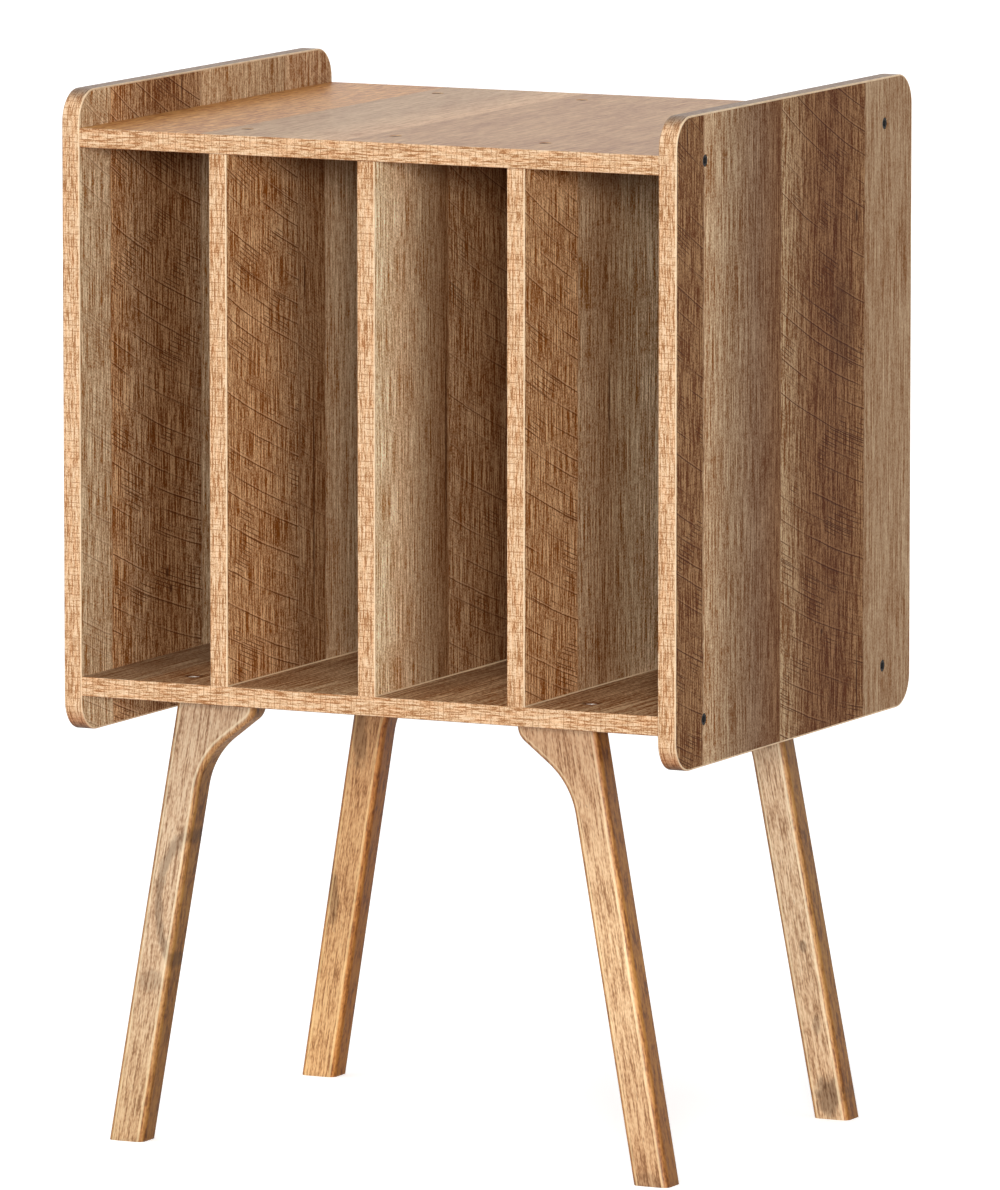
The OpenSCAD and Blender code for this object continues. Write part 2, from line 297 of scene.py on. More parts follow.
RIGHT_DIVIDER_PLANKS = (
    (75, 1.0, 1.05, (HONEY,)),
    # Its rear tones are made light to offset the shade deep in the bay: painted light over the print's
    # tone
    (150, 0.0, 1.35, (GREY_TAN, CHESTNUT, TAN, SAND, SAND)),
    (120, 0.6, 0.9, (RUSSET, UMBER)),
)
TOP_PLANKS = (
    (83, 0.3, 0.6, (GOLDEN,)),
    (98, 0.0, 0.5, (TOP_TAN, TOP_TAN, TOP_PALE)),
    (215, 0.0, 0.5, (ROSE_TAN,)),
)
FLOOR_PLANKS = (
    (40, 0.0, 1.5, (GREY_BROWN,)),
    (130, 0.3, 1.5, (CHESTNUT, RUSSET, TAN)),
    (60, 0.0, 1.5, (TAN, CHESTNUT)),
    (166, 0.3, 1.5, (RUSSET,)),
)

# Seams and saw marks, in mm
SEAM = 0.6
SAW_RADIUS = 750
SAW_SPACING = 14
CLOSE_SAW_SPACING = 2.8
SAW_ANGLE = math.radians(24)
RAGGED = 6

# Tints of the print, as shares of a plank's own tone. The saw ridge tint is a painted highlight, and the
# blemish tint also paints shade round the bolt heads
DARK_GRAIN = (0.50, 0.29, 0.09)
LIGHT_GRAIN = (1.72, 2.12, 2.45)
MID_GRAIN = 0.37
SAW_CUT = (0.28, 0.16, 0.08)
SAW_HIGHLIGHT = (1.6, 1.85, 2.2)
STAIN_AND_SHADE = (0.25, 0.15, 0.09)
FOOT_LINE = srgb(232, 206, 168)
FOOT_LINE_HEIGHT = 1.0


def bolt_marks():
    """The leg bolts' counterbores, in shade round their heads."""
    low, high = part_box("leg_bolts")
    rows = [(x - floor_low.x) / MM for x in (low.x + BOLT_HEAD / 2, high.x - BOLT_HEAD / 2)]
    places = [y / MM for y in (low.y + BOLT_HEAD / 2, high.y - BOLT_HEAD / 2)]
    reach = BOLT_SHADE / MM
    return tuple((u, w, reach, reach, 1.0) for u in rows for w in places)


# Knots, cracks and stains, and painted shade round the bolt heads' counterbores: place across and along
# the board, half width and half length in mm, and strength
MARKS = {
    "floor_panel": bolt_marks(),
    "right_side_panel": (
        (212, 322, 2, 2, 0.9),
        (264, 284, 1, 26, 0.9),
        (15, 650, 1, 12, 0.9),
        (262, 577, 2, 5, 0.9),
        (243, 512, 20, 34, 0.28),
    ),
    "left_side_panel": ((115, 347, 2, 4, 0.9), (120, 336, 2, 3, 0.9), (137, 650, 1, 9, 0.9)),
    "left_divider": ((106, 538, 1.2, 14, 0.9), (118, 400, 1, 90, 0.9)),
    "middle_divider": ((98, 440, 1.2, 70, 0.9),),
    "right_divider": ((119, 471, 1.4, 30, 0.9),),
}


def plank_stops(planks):
    """Two ramps over a board's width: the planks' colours, and (saw, number, start, grain strength)."""
    total = sum(plank[0] for plank in planks)
    colours, facts = [], []
    start = 0
    for number, (width, saw, strength, tones) in enumerate(planks):
        ends = ((start + SEAM / 2) / total, (start + width - SEAM / 2) / total)
        fact = (saw, number / 8, start / total, strength / 2)
        facts += [(end, fact) for end in ends]
        if len(tones) == 1:
            tones *= 2
        step = (ends[1] - ends[0]) / (len(tones) - 1)
        colours += [(ends[0] + step * place, tone) for place, tone in enumerate(tones)]
        start += width
    return colours, facts, total


def laminate(node, planks, across, along, seed, grain=1.0, length=38, gloss=0.05, roughness=0.5):
    """Paper print of old planks side by side. grain scales its figure, length is that of its lines."""
    f = Finish(node + "_print", Roughness=roughness, Specular_IOR_Level=gloss)
    place = dict(zip("xyz", f.place()))
    edge = {"x": floor_low.x, "y": FRONT}[across]
    u = place[across] - edge / MM
    w = place[along]
    through = ({"x", "y", "z"} - {across, along}).pop()
    middle = sum(getattr(corner, through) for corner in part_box(node)) / 2 / MM
    face = (place[through] - middle).rise(-1, 1)
    colours, facts, total = plank_stops(planks)
    seam = u + f.noise(u / 30, w / 12, seed + 50, detail=3.0) * RAGGED
    base = f.ramp(seam / total, colours)
    fact = f.ramp(seam / total, facts)
    strength = Wire(f, fact.socket.node.outputs["Alpha"]) * 2
    saw, number, start = [f.node("SeparateColor", {0: fact}, output=c) for c in ("Red", "Green", "Blue")]
    own = number * 97 + face * 31 + seed

    line = f.noise(u / (1.2 * grain), w / (length - saw * length * 0.3), own, detail=0.5)
    fibre = f.noise(u / (1.2 * grain), w / (5 * grain), own + 3, detail=0.5)
    grit = f.noise(u / (1.1 * grain), w / (1.2 * grain), own + 17, detail=0.5)
    streak = f.noise(u / (5 * grain), w / (150 * grain), own + 5)
    patch = f.noise(u / 26, w / (70 * grain), own + 9)
    fine = line * (1.35 + saw * 1.2) + fibre * (0.75 + saw * 0.6) + grit * (0.75 + saw * 0.6)
    tone = MID_GRAIN + fine * strength + streak * 0.24 + patch * 0.38

    # Cuts of a round saw whose centre lies far above each plank
    from_centre_u = u - start * total - SAW_RADIUS * math.sin(SAW_ANGLE)
    board_middle = SIDE_MIDDLE / MM if along == "z" else 0
    from_centre_w = w - board_middle - SAW_RADIUS * math.cos(SAW_ANGLE)
    radius = (from_centre_u ** 2 + from_centre_w ** 2) ** 0.5
    sweep = radius + f.noise(u / 40, w / 40, own + 2) * 2
    deep = f.cuts(sweep + own * 13, SAW_SPACING, 0.45)
    # Painted highlight: a pale line 1 mm beside each deep saw cut, where a raised ridge would catch the
    # light
    cut_highlight = f.cuts(sweep + own * 13 + 1.0, SAW_SPACING, 0.45)
    close = f.cuts(sweep + own * 29, CLOSE_SAW_SPACING, 0.42)
    wear_and_highlight = f.noise(u / 60, sweep / 7, own + 12).rise(-0.14, 0.08)
    each = f.noise(u / 40, sweep / 2.5, own + 15).rise(-0.08, 0.2)
    rough = f.noise(u / 45, w / 25, own + 21).rise(0.05, 0.14)
    cut = (saw * 1.1) * (deep * wear_and_highlight * 0.9).most(close * (each * 0.38).most(rough * 0.8))

    colour = f.mix(f.tint(base, DARK_GRAIN), f.tint(base, LIGHT_GRAIN), tone)
    # Painted highlight beside the saw cuts
    colour = f.mix(colour, f.tint(base, SAW_HIGHLIGHT), saw * cut_highlight * wear_and_highlight * 0.5)
    colour = f.mix(colour, f.tint(base, SAW_CUT), cut)
    bend = f.noise(u / 9, w / 9, seed + 40) * 2
    # Knots, cracks and stains in a darker tint of the plank, and painted shade round the bolt heads in the
    # same tint
    for mark_u, mark_w, half_width, half_length, depth in MARKS.get(node, ()):
        away = (((u + bend - mark_u) / half_width) ** 2 + ((w - mark_w) / half_length) ** 2) ** 0.5
        colour = f.mix(colour, f.tint(base, STAIN_AND_SHADE), away.rise(1.2, 0.5) * depth)
    if node.endswith("divider"):
        foot = floor_high.z / MM
        colour = f.mix(colour, FOOT_LINE, w.rise(foot + FOOT_LINE_HEIGHT, foot + 0.6))
    f.feed("Base Color", colour)
    f.bump(tone * 0.3 - cut, 0.0003, 0.35)
    return f.material


BAND_PALE = srgb(224, 193, 158)
BAND_MID = srgb(198, 157, 117)
BAND_BROWN = srgb(150, 103, 63)
BAND_WARM = (1.02, 0.86, 0.74)
# A painted highlight: a cream line along one arris of the upright strips
BAND_PAINTED_HIGHLIGHT = srgb(238, 212, 176)
# Painted shade: a dark line along the other arris of every strip
BAND_PAINTED_SHADE = srgb(112, 78, 54)
# Painted shade on the side panels' bands where they face up or down
BAND_LEVEL_SHADE = (0.38, 0.38, 0.40)
# Painted shade: what faces down is darker and redder
BAND_UNDER_SHADE = (0.74, 0.55, 0.45)

# Width of the banding and spacing of its marks, in mm
BAND_WIDTH = 12
TICK_SPACING = 4.4
HAIR_SPACING = 1.7

# Where the straight strips start in the UV map, in metres, and what parts the upright from the level
DIVIDER_STRIPS = -4
LEVEL_STRIPS = -8
UPRIGHT_FROM = -7000


def edge_banding():
    """Pale printed strip: fine streaks along it and uneven ticks across it.

    On upright strips a painted highlight runs as a cream line along one arris. Every strip has painted
    shade along its other arris and on what faces down, which is darker and redder, and the side panels'
    bands get painted shade where they face up or down. u runs along a strip and v across it, in mm.
    """
    f = Finish("edge_banding_print", Roughness=0.5, Specular_IOR_Level=0.2)
    u, v = f.place("UV")[:2]
    fine = f.noise(u / 9, v / 0.9, 1.0, detail=1.0)
    grit = f.noise(u / 1.0, v / 0.9, 3.0, detail=1.0)
    streak = f.noise(u / 50, v / 1.2, 4.0)
    patch = f.noise(u / 26, v / 8, 8.0)
    tone = 0.5 + fine * 2.4 + grit * 1.4 + streak * 1.2 + patch * 0.7
    bend = f.noise(u / 9, v / 5, 12.0) * 0.8
    ticks = f.cuts(u + bend, TICK_SPACING, 0.45) * f.noise(u / 4, v / 6, 15.0).rise(-0.14, 0.02)
    hairs = f.cuts(u + bend, HAIR_SPACING, 0.35) * f.noise(u / 3, v / 1.6, 18.0).rise(-0.05, 0.12)
    marks = (ticks * 0.7).most(hairs * 0.42)
    colour = f.ramp(tone, ((0.1, BAND_BROWN), (0.42, BAND_MID), (0.85, BAND_PALE)))
    warm = f.noise(u / 16, v / 3, 21.0).rise(-0.05, 0.15)
    colour = f.mix(colour, f.tint(colour, BAND_WARM), warm * 0.5)
    colour = f.mix(colour, BAND_BROWN, marks)
    upright = u.rise(UPRIGHT_FROM, UPRIGHT_FROM + 1)
    # Painted highlight: a cream line along the arris at the high end of v, on the upright strips
    arris_highlight = v.rise(BAND_WIDTH - 0.9, BAND_WIDTH - 0.6) * upright
    colour = f.mix(colour, BAND_PAINTED_HIGHLIGHT, arris_highlight * 0.65)
    # Painted shade along the arris at the low end of v
    colour = f.mix(colour, BAND_PAINTED_SHADE, v.rise(0.7, 0.2) * 0.5)
    normal = f.node("TexCoord", {}, output="Normal")
    lift = f.node("SeparateXYZ", {0: normal}, output="Z")
    # Painted shade on what faces down
    colour = f.mix(colour, f.tint(colour, BAND_UNDER_SHADE), lift.rise(-0.2, -0.7))
    # Painted shade on the side panels' bands, on faces that point up or down
    level_shade = abs(lift).rise(0.6, 1.0)
    colour = f.mix(colour, f.tint(colour, BAND_LEVEL_SHADE), level_shade * u.rise(-1, 0) * (1 - arris_highlight))
    f.feed("Base Color", colour)
    f.bump(tone * 0.3 - marks, 0.0002, 0.2)
    return f.material


LEG_PALE = srgb(214, 182, 146)
LEG_MID = srgb(188, 150, 114)
LEG_BROWN = srgb(140, 102, 70)
# Darker, more orange tints for the rounded arrises and the sides: partly the wood's own tone, partly
# painted shade
LEG_ROUND = (0.84, 0.62, 0.38)
LEG_SIDE = (0.58, 0.50, 0.27)
# A painted highlight along the legs' arrises
LEG_HIGHLIGHT = srgb(246, 222, 180)
LEG_PORE = srgb(112, 74, 44)
LEG_STAIN = (0.42, 0.39, 0.37)

# Each leg's tints at its seat, middle and foot, and its clouds and rings of darker figure, each as x, z,
# half width and half height in mm, and strength
# The seat tints are all darker than the middle ones: painted shade under the cabinet, besides each leg's
# own tone
LEG_FIGURES = {
    "front_left_leg": (
        ((0.86, 0.89, 0.95), (0.98, 1.03, 1.10), (0.92, 0.90, 0.82)),
        ((-163, 103, 11, 8, 0.45), (-149, 85, 6, 7, 0.35)),
        ((-133, 150, 24, 46, 0.75),),
    ),
    "front_right_leg": (
        ((0.86, 0.79, 0.75), (1.20, 1.19, 1.12), (0.98, 0.89, 0.78)),
        ((180, 2, 14, 8, 0.45),),
        (),
    ),
    "rear_left_leg": (
        ((0.78, 0.60, 0.44), (0.97, 0.84, 0.65), (1.10, 0.98, 0.75)),
        ((-147, 230, 7, 30, 0.75), (-168, 120, 5, 24, 0.75)),
        (),
    ),
    "rear_right_leg": (
        ((0.96, 1.02, 1.12), (1.06, 1.13, 1.20), (1.10, 1.09, 1.07)),
        ((181, 15, 11, 15, 1.0), (142, 240, 3, 6, 0.8), (164, 110, 3, 5, 0.8), (173, 60, 3, 8, 0.6)),
        (),
    ),
}


def leg_wood(node, side, seed):
    """Lacquered solid wood, its grain along the leaning leg, golden on the rounded arrises, partly as
    painted shade.
    """
    (seat, middle, foot), clouds, rings = LEG_FIGURES[node]
    f = Finish(node + "_wood", Roughness=0.42, Specular_IOR_Level=0.3)
    x, y, z = f.place()
    out = x * side
    along = out * math.sin(LEG_SPLAY) - z * math.cos(LEG_SPLAY)
    across = out * math.cos(LEG_SPLAY) + z * math.sin(LEG_SPLAY)
    speck = f.noise(across / 0.9, along / 3, y / 1.5 + seed, detail=1.0)
    fine = f.noise(across / 1.0, along / 16, y / 3 + seed, detail=1.0)
    streak = f.noise(across / 3.5, along / 80, y / 9 + seed)
    patch = f.noise(across / 12, along / 30, y / 16 + seed + 3)
    tone = 0.55 + speck * 1.35 + fine * 2.1 + streak * 0.7 + patch * 0.5
    pores = f.noise(across / 0.8, along / 7, y / 2 + seed + 7, detail=1.0).rise(0.14, 0.24)
    colour = f.ramp(tone, ((0.05, LEG_BROWN), (0.45, LEG_MID), (0.9, LEG_PALE)))
    colour = f.mix(colour, LEG_PORE, pores * 0.5)
    ragged = f.noise(x / 5, z / 7, seed + 11, detail=3.0)
    for at_x, at_z, half_width, half_height, depth in clouds:
        away = (((x - at_x) / half_width) ** 2 + ((z - at_z) / half_height) ** 2) ** 0.5
        colour = f.mix(colour, f.tint(colour, LEG_STAIN), (away + ragged).rise(1.1, 0.5) * depth)
    for at_x, at_z, half_width, half_height, depth in rings:
        away = (((x - at_x) / half_width) ** 2 + ((z - at_z) / half_height) ** 2) ** 0.5
        band = abs(away + ragged * 0.2 - 1)
        colour = f.mix(colour, f.tint(colour, LEG_STAIN), band.rise(0.16, 0.04) * depth)
    facing_x, facing_y = f.facing()[:2]
    # Golden rounded arrises and darker sides: partly the wood's own tone, partly painted shade on faces
    # turned from the front
    colour = f.mix(colour, f.tint(colour, LEG_ROUND), facing_x.rise(0.15, 0.5))
    colour = f.mix(colour, f.tint(colour, LEG_SIDE), facing_x.rise(0.6, 0.95))
    # Painted highlight: a pale line where the front and rear faces turn into the rounded arrises
    wear_and_highlight = facing_y.rise(0.88, 0.96) * facing_y.rise(0.999, 0.99)
    colour = f.mix(colour, LEG_HIGHLIGHT, wear_and_highlight * 0.45)
    # From seat to middle to foot: each leg's own tone, with painted shade darkening the seat under the
    # cabinet
    half = LEG_TOP / MM / 2
    upper = f.mix(f.tint(colour, seat), f.tint(colour, middle), z.rise(2 * half, half))
    colour = f.mix(upper, f.tint(colour, foot), z.rise(half, 0))
    f.feed("Base Color", colour)
    f.bump(tone * 0.4 - pores, 0.0003, 0.2)
    return f.material


BLACK_OXIDE = srgb(14, 10, 8)
ZINC = srgb(236, 231, 222)
BRASS = srgb(206, 170, 104)
METAL_WEAR = (1.5, 1.5, 1.5)


def metal(name, colour, roughness, metallic):
    """Turned or formed metal with a faint brushed unevenness."""
    f = Finish(name, Metallic=metallic)
    x, y, z = f.place()
    wear = f.noise(x / 1.2, y / 1.2, z / 1.2, detail=3.0)
    f.feed("Base Color", f.mix(colour, f.tint(colour, METAL_WEAR), 0.3 + wear))
    f.feed("Roughness", roughness + wear * 0.25)
    f.bump(wear, 0.0001, 0.2)
    return f.material


BOARD_BROWN = srgb(150, 112, 80)
BOARD_BACK = srgb(158, 128, 96)


def backboard():
    """Thin fibreboard: a plain brown print toward the bays, bare pressed fibre toward the wall."""
    f = Finish("backboard_print", Roughness=0.6)
    x, y, z = f.place()
    grain = f.noise(x / 2, z / 40, 1.0, detail=3.0)
    streak = f.noise(x / 12, z / 200, 4.0)
    print_tone = MID_GRAIN + grain + streak * 0.5
    print_colour = f.mix(f.tint(BOARD_BROWN, DARK_GRAIN), f.tint(BOARD_BROWN, LIGHT_GRAIN), print_tone)
    fibre = f.noise(x / 3.5, z / 2.2, 9.0, detail=5.0, roughness=0.7)
    cloud = f.noise(x / 90, z / 60, 14.0)
    chips = f.noise(x / 2.5, z / 1.6, 19.0, detail=1.0).rise(0.2, 0.27)
    bare_tone = MID_GRAIN + fibre * 0.8 + cloud * 0.25 - chips * 0.2
    bare = f.mix(f.tint(BOARD_BACK, DARK_GRAIN), f.tint(BOARD_BACK, LIGHT_GRAIN), bare_tone)
    low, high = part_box("back_panel")
    middle = (low.y + high.y) / 2 / MM
    f.feed("Base Color", f.mix(print_colour, bare, y.rise(middle - 0.5, middle + 0.5)))
    f.bump(fibre, 0.0002, 0.3)
    return f.material


BEECH = srgb(226, 196, 150)
BEECH_FLECK = (0.70, 0.62, 0.52)


def beech():
    """Bare turned beech with short flecks."""
    f = Finish("bare_beech", Roughness=0.6)
    x, y, z = f.place()
    fleck = f.noise(x / 1.5, y / 1.5, z / 4, detail=3.0)
    f.feed("Base Color", f.mix(f.tint(BEECH, BEECH_FLECK), BEECH, 0.6 + fleck * 2))
    return f.material


# Pieces


def select_only(piece):
    bpy.ops.object.select_all(action="DESELECT")
    piece.select_set(True)
    bpy.context.view_layer.objects.active = piece


def select_edges(piece, wanted):
    """Selects the edges of the piece in edit mode that wanted(edge) picks."""
    bpy.ops.mesh.select_all(action="DESELECT")
    bpy.ops.mesh.select_mode(type="EDGE")
    mesh = bmesh.from_edit_mesh(piece.data)
    for edge in mesh.edges:
        edge.select_set(wanted(edge))
    bmesh.update_edit_mesh(piece.data)


def is_sharp(edge):
    return len(edge.link_faces) == 2 and edge.calc_face_angle() > ARRIS_ANGLE


def smooth(piece):
    """Smooth shading that keeps flat faces flat and arrises crisp."""
    select_only(piece)
    bpy.ops.object.shade_smooth_by_angle(angle=SMOOTH_ANGLE)
    weighted = piece.modifiers.new("flat_faces", "WEIGHTED_NORMAL")
    weighted.keep_sharp = True
    bpy.ops.object.modifier_apply(modifier=weighted.name)


def finish_piece(piece, material, node):
    """The last steps of every new piece: its finish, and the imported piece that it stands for."""
    piece.data.materials.clear()
    piece.data.materials.append(material)
    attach(piece, "root")
    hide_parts(node)


def welded_copy(node, suffix):
    """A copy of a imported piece's mesh as one closed solid with whole flat faces, in edit mode."""
    piece = bpy.data.objects.new(node + suffix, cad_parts[node].data.copy())
    bpy.context.scene.collection.objects.link(piece)
    select_only(piece)
    bpy.ops.object.mode_set(mode="EDIT")
    bpy.ops.mesh.select_all(action="SELECT")
    bpy.ops.mesh.remove_doubles(threshold=WELD)
    bpy.ops.mesh.dissolve_limited(angle_limit=FLAT_ANGLE)
    return piece


def depth_in_side(point):
    """How far a point lies inside the rounded outline that the side panels' edges follow."""
    y = abs(point.y) - (SIDE_DEPTH / 2 - CORNER_RADIUS)
    z = abs(point.z - SIDE_MIDDLE) - (SIDE_HEIGHT / 2 - CORNER_RADIUS)
    if y > 0 and z > 0:
        return CORNER_RADIUS - math.hypot(y, z)
    return CORNER_RADIUS - max(y, z)


def ring_place(point):
    """Distance round a side panel's edge, from the foot of its front run, up, back, down and forward."""
    half_run = SIDE_HEIGHT / 2 - CORNER_RADIUS
    half_top = SIDE_DEPTH / 2 - CORNER_RADIUS
    quarter = CORNER_RADIUS * math.pi / 2
    y, z = point.y, point.z - SIDE_MIDDLE
    over_y, over_z = abs(y) - half_top, abs(z) - half_run
    half_round = 2 * half_run + 2 * half_top + 2 * quarter
    if y > 0 and not (z > half_run and over_y < 0) or (z < -half_run and over_y < 0):
        y, z, before = -y, -z, half_round
    else:
        before = 0
    if over_y > 0 and over_z > 0:
        turn = math.atan2(over_z, over_y) * CORNER_RADIUS
        return before + (2 * half_run + turn if z > 0 else -turn)
    if over_z > over_y:
        return before + 2 * half_run + quarter + y + half_top
    return before + z + half_run


def ring_length():
    straight = 2 * (SIDE_HEIGHT + SIDE_DEPTH - 4 * CORNER_RADIUS)
    return straight + 2 * math.pi * CORNER_RADIUS


def map_ring(piece):
    """UV map of a side panel's banding: u round the panel, v across the banding, in metres."""
    low = min(vertex.co.x for vertex in piece.data.vertices)
    layer = piece.data.uv_layers.new(name="along_edge")
    round_trip = ring_length()
    for face in piece.data.polygons:
        centre = ring_place(face.center)
        for loop in face.loop_indices:
            place = piece.data.vertices[piece.data.loops[loop].vertex_index].co
            u = ring_place(place)
            u -= round_trip * round((u - centre) / round_trip)
            layer.data[loop].uv = (u + round_trip, place.x - low)


def map_strip(piece, along, across, start):
    """UV map of a straight banding: u along it from start, v across it, in metres."""
    low = min(vertex.co[across] for vertex in piece.data.vertices)
    layer = piece.data.uv_layers.new(name="along_edge")
    for loop in piece.data.loops:
        place = piece.data.vertices[loop.vertex_index].co
        layer.data[loop.index].uv = (place[along] + start, place[across] - low)


def is_outer_arris(edge):
    """A sharp edge on the outline that the side panels' edges follow."""
    return is_sharp(edge) and all(depth_in_side(vertex.co) < LEVEL for vertex in edge.verts)


def banding(node):
    """A banding strip with its outer arrises broken."""
    piece = welded_copy(node, "_strip")
    select_edges(piece, is_outer_arris)
    bpy.ops.mesh.bevel(offset=ARRIS, segments=2)
    bpy.ops.object.mode_set(mode="OBJECT")
    return piece


def finish_banding(piece, material, node):
    smooth(piece)
    finish_piece(piece, material, node)


def make_bandings(material):
    for side in ("left", "right"):
        piece = banding(side + "_side_edging")
        map_ring(piece)
        finish_banding(piece, material, side + "_side_edging")
    for place, name in enumerate(("left_divider", "middle_divider", "right_divider")):
        piece = banding(name + "_edging")
        map_strip(piece, 2, 0, DIVIDER_STRIPS - place)
        finish_banding(piece, material, name + "_edging")
    for place, name in enumerate(("top", "floor")):
        piece = banding(name + "_edging")
        map_strip(piece, 0, 2, LEVEL_STRIPS - place)
        finish_banding(piece, material, name + "_edging")


def draw_to(place):
    """Extrudes the selected point of an outline to a place."""
    mesh = bmesh.from_edit_mesh(bpy.context.object.data)
    at = next(v.co.copy() for v in mesh.verts if v.select)
    bpy.ops.mesh.extrude_region_move(TRANSFORM_OT_translate={"value": place - at})


def draw_arc(centre, angle, steps):
    """Spins the selected point of an outline about a centre: seen from the front, counterclockwise."""
    bpy.ops.mesh.spin(steps=steps, angle=angle, center=centre, axis=(0, 1, 0))


def leg_outline(end):
    """Corners of a right leg's front face before it is leant back, with the arcs of its bracket."""
    y = LEG_FACE[end]
    length = LEG_TOP / math.cos(LEG_RAKE[end])
    lean = math.tan(LEG_SPLAY)

    def at(inward, down):
        """A place by its distance from the leg's outer top corner."""
        return Vector((LEG_OUTER_TOP - inward, y, LEG_TOP - down))

    tip_centre = (BRACKET_REACH - BRACKET_TIP, BRACKET_END)
    slope_start = (
        tip_centre[0] + BRACKET_TIP * math.sin(BRACKET_SLOPE),
        tip_centre[1] + BRACKET_TIP * math.cos(BRACKET_SLOPE),
    )
    # The blend touches the slope and the shaft's inner line, both as inward = a - b * down
    slope_lean = 1 / math.tan(BRACKET_SLOPE)
    slope_base = slope_start[0] + slope_lean * slope_start[1] + BRACKET_BLEND / math.sin(BRACKET_SLOPE)
    shaft_base = LEG_ACROSS + BRACKET_BLEND / math.cos(LEG_SPLAY)
    blend_down = (slope_base - shaft_base) / (slope_lean - lean)
    blend_in = shaft_base - lean * blend_down
    slope_end = (
        blend_in - BRACKET_BLEND * math.sin(BRACKET_SLOPE),
        blend_down - BRACKET_BLEND * math.cos(BRACKET_SLOPE),
    )
    foot_outer = -lean * length
    return {
        "outer_top": at(0, 0),
        "tip_top": at(BRACKET_REACH, 0),
        "tip_start": at(BRACKET_REACH, BRACKET_END),
        "tip_centre": at(*tip_centre),
        "slope_end": at(*slope_end),
        "blend_centre": at(blend_in, blend_down),
        "foot_inner": at(foot_outer + LEG_ACROSS, length),
        "foot_outer": at(foot_outer, length),
    }


def right_leg(end):
    """A right leg: its outline is drawn, leant, filled and thickened, and its long arrises rounded."""
    marks = leg_outline(end)
    bpy.ops.object.select_all(action="DESELECT")
    bpy.ops.mesh.primitive_plane_add(size=0.01)
    leg = bpy.context.object
    bpy.ops.object.mode_set(mode="EDIT")
    bpy.ops.mesh.select_mode(type="VERT")
    bpy.ops.mesh.select_all(action="SELECT")
    bpy.ops.mesh.merge(type="CENTER")
    bpy.ops.transform.translate(value=marks["outer_top"])
    draw_to(marks["tip_top"])
    draw_to(marks["tip_start"])
    quarter = math.pi / 2
    draw_arc(marks["tip_centre"], quarter - BRACKET_SLOPE, TIP_STEPS)
    draw_to(marks["slope_end"])
    draw_arc(marks["blend_centre"], -(quarter - LEG_SPLAY - BRACKET_SLOPE), BLEND_STEPS)
    draw_to(marks["foot_inner"])
    draw_to(marks["foot_outer"])
    bpy.ops.mesh.select_all(action="SELECT")
    bpy.ops.mesh.remove_doubles(threshold=WELD)
    seat = marks["outer_top"]
    bpy.ops.transform.rotate(value=-LEG_RAKE[end], orient_axis="X", center_override=seat)
    bpy.ops.mesh.edge_face_add()
    bpy.ops.mesh.extrude_region_move(TRANSFORM_OT_translate={"value": BACK * LEG_THICKNESS})
    bpy.ops.mesh.select_all(action="SELECT")
    bpy.ops.mesh.normals_make_consistent(inside=False)
    select_edges(leg, is_long_arris)
    bpy.ops.mesh.bevel(offset=LEG_EDGE, segments=LEG_EDGE_STEPS, clamp_overlap=True)
    bpy.ops.object.mode_set(mode="OBJECT")
    return leg


def is_long_arris(edge):
    """An edge of the front or rear face, apart from those at the seat and under the foot."""
    ends = [vertex.co for vertex in edge.verts]
    front_to_rear = abs((ends[1] - ends[0]).normalized().y) > 0.9
    at_foot = all(end.z < LEVEL for end in ends)
    at_seat = all(end.z > LEG_TOP - LEVEL for end in ends)
    return not front_to_rear and not at_foot and not at_seat


def make_legs():
    shaped = {end: right_leg(end) for end in LEG_RAKE}
    for seed, node in enumerate(LEG_FIGURES):
        first = shaped[node.split("_")[0]]
        leg = bpy.data.objects.new(node + "_shaped", first.data.copy())
        bpy.context.scene.collection.objects.link(leg)
        side = 1
        if "left" in node:
            side = -1
            leg.data.transform(Matrix.Scale(-1, 4, RIGHT))
        select_only(leg)
        bpy.ops.object.mode_set(mode="EDIT")
        bpy.ops.mesh.select_all(action="SELECT")
        bpy.ops.mesh.normals_make_consistent(inside=False)
        bpy.ops.object.mode_set(mode="OBJECT")
        smooth(leg)
        finish_piece(leg, leg_wood(node, side, seed * 20), node)
    for first in shaped.values():
        bpy.data.objects.remove(first)


HEAD_ARRIS = 0.3 * MM


def make_fasteners(black, bright):
    """Screws and bolts with the sharp rims of their heads and sockets broken."""
    rows = {
        "left_side_screws": (black, "black_steel"),
        "right_side_screws": (black, "black_steel"),
        "top_screws": (black, "black_steel"),
        "floor_screws": (black, "black_steel"),
        "leg_bolts": (bright, "bright_steel"),
    }
    for node, (material, slot) in rows.items():
        piece = welded_copy(node, "_turned")
        select_edges(piece, is_sharp)
        bpy.ops.mesh.bevel(offset=HEAD_ARRIS, segments=2, clamp_overlap=True)
        bpy.ops.object.mode_set(mode="OBJECT")
        smooth(piece)
        finish_piece(piece, material, node)


def dress_node(node, material):
    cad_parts[node].material_slots[0].material = material


def dress_boards():
    upright = {
        "left_side_panel": LEFT_SIDE_PLANKS,
        "right_side_panel": RIGHT_SIDE_PLANKS,
        "left_divider": LEFT_DIVIDER_PLANKS,
        "middle_divider": MIDDLE_DIVIDER_PLANKS,
        "right_divider": RIGHT_DIVIDER_PLANKS,
    }
    for seed, (node, planks) in enumerate(upright.items()):
        dress_node(node, laminate(node, planks, "y", "z", seed * 10))
    dress_node("floor_panel", laminate("floor_panel", FLOOR_PLANKS, "x", "y", 50, grain=0.85, length=60))
    top = laminate("top_panel", TOP_PLANKS, "x", "y", 60, grain=1.8, length=24, gloss=0.12, roughness=0.45)
    dress_node("top_panel", top)


# Stage


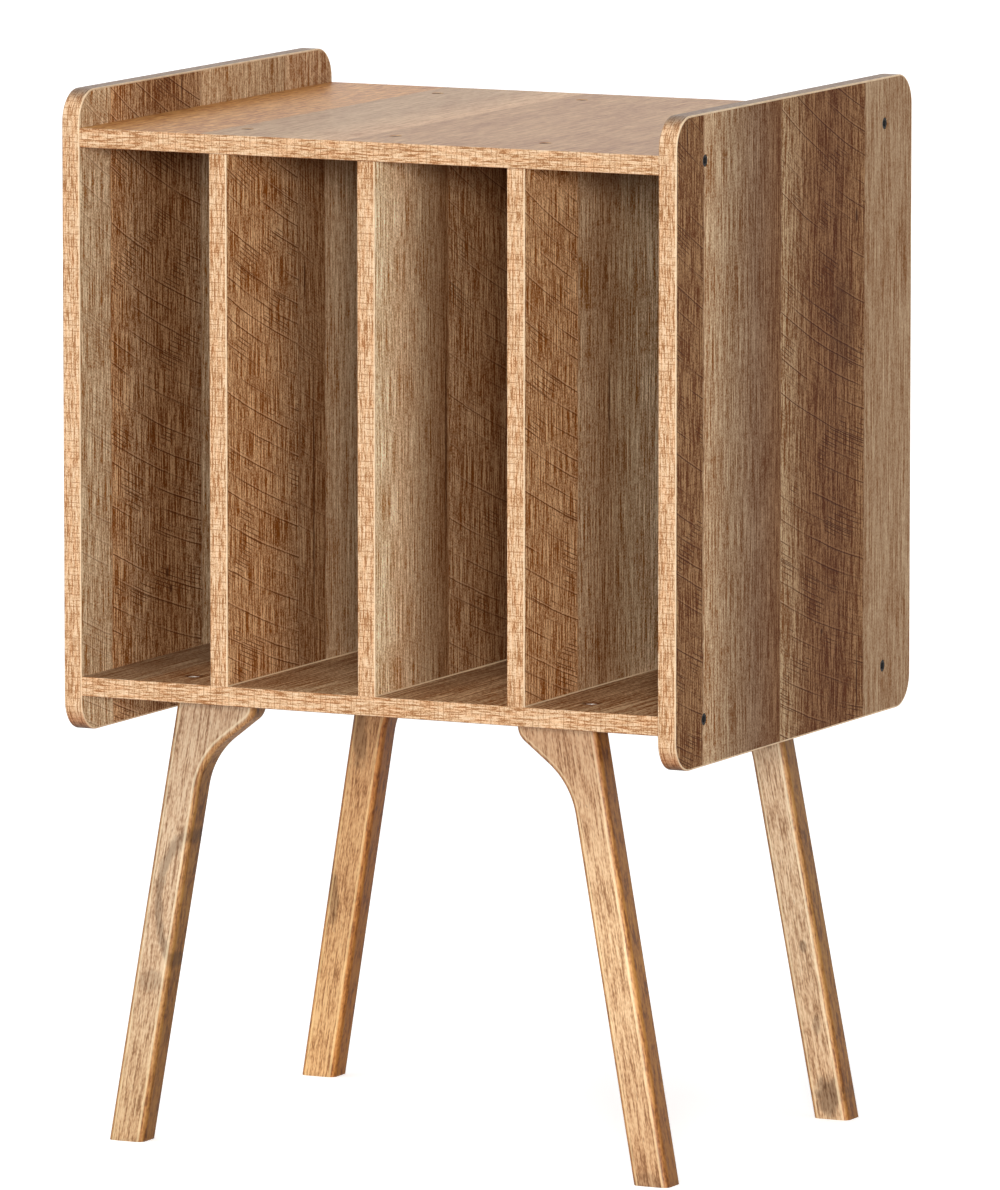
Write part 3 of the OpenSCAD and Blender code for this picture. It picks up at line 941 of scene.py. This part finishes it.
def sun(name, strength, toward, size):
    light = bpy.data.lights.new(name, "SUN")
    light.energy = strength
    light.angle = math.radians(size)
    lamp = bpy.data.objects.new(name, light)
    bpy.context.scene.collection.objects.link(lamp)
    lamp.rotation_euler = Vector(toward).to_track_quat("Z", "Y").to_euler()


def sky():
    """Even soft light that looks white to the camera and in reflections."""
    world = bpy.data.worlds.new("studio")
    bpy.context.scene.world = world
    world.use_nodes = True
    nodes, links = world.node_tree.nodes, world.node_tree.links
    background = nodes["Background"]
    path = nodes.new("ShaderNodeLightPath")
    seen = nodes.new("ShaderNodeMath")
    seen.operation = "MAXIMUM"
    links.new(path.outputs["Is Camera Ray"], seen.inputs[0])
    links.new(path.outputs["Is Glossy Ray"], seen.inputs[1])
    tone = nodes.new("ShaderNodeMix")
    tone.data_type = "RGBA"
    tone.inputs[6].default_value = grey(SKY_GREY)
    tone.inputs[7].default_value = grey(1.0)
    links.new(seen.outputs[0], tone.inputs[0])
    links.new(tone.outputs[2], background.inputs["Color"])


def floor():
    """A white floor that takes the stand's shadow and can be looked through from below."""
    bpy.ops.object.select_all(action="DESELECT")
    bpy.ops.mesh.primitive_plane_add(size=FLOOR_SIDE, location=(0, 0, -FLOOR_GAP))
    plane = bpy.context.object
    plane.name = "floor"
    f = Finish("white_floor", Roughness=0.8, Base_Color=grey(FLOOR_GREY), Specular_IOR_Level=0.0)
    seen = f.node("LightPath", {}, output="Is Camera Ray")
    f.feed("Emission Color", f.mix(grey(0.0), grey(1.0), seen))
    f.feed("Emission Strength", FLOOR_GLOW)
    near = f.node("LightPath", {}, output="Ray Length").rise(2 * FLOOR_NEAR, FLOOR_NEAR)
    below = f.node("NewGeometry", {}, output="Backfacing").most(near)
    clear = f.node("BsdfTransparent", {})
    shader = Wire(f, f.shader.outputs[0])
    shown = f.node("MixShader", {0: below, 1: shader, 2: clear})
    f.links.new(shown.socket, f.nodes["Material Output"].inputs["Surface"])
    plane.data.materials.append(f.material)


def camera():
    lens = bpy.data.cameras.new("camera")
    lens.lens = FOCAL_LENGTH
    lens.sensor_width = SENSOR
    view = bpy.data.objects.new("camera", lens)
    bpy.context.scene.collection.objects.link(view)
    view.location = CAMERA_AT
    view.rotation_euler = (math.radians(90 + CAMERA_PITCH), 0, math.radians(CAMERA_YAW))
    bpy.context.scene.camera = view


camera()
sun("key", SUN_STRENGTH, SUN_TOWARD, SUN_SIZE)
sun("top", TOP_STRENGTH, TOP_TOWARD, TOP_SIZE)
sun("fill", FILL_STRENGTH, FILL_TOWARD, FILL_SIZE)
sky()
floor()
bpy.context.scene.view_settings.view_transform = "Standard"

dress_boards()
dress_node("back_panel", backboard())
make_bandings(edge_banding())
make_legs()
make_fasteners(
    metal("black_oxide", BLACK_OXIDE, 0.6, 0.0),
    metal("zinc_plate", ZINC, 0.35, 0.4),
)
dress_node("leg_inserts", metal("plain_brass", BRASS, 0.35, 1.0))
wood = beech()
for dowels in ("leg_dowels", "side_dowels", "divider_dowels"):
    dress_node(dowels, wood)
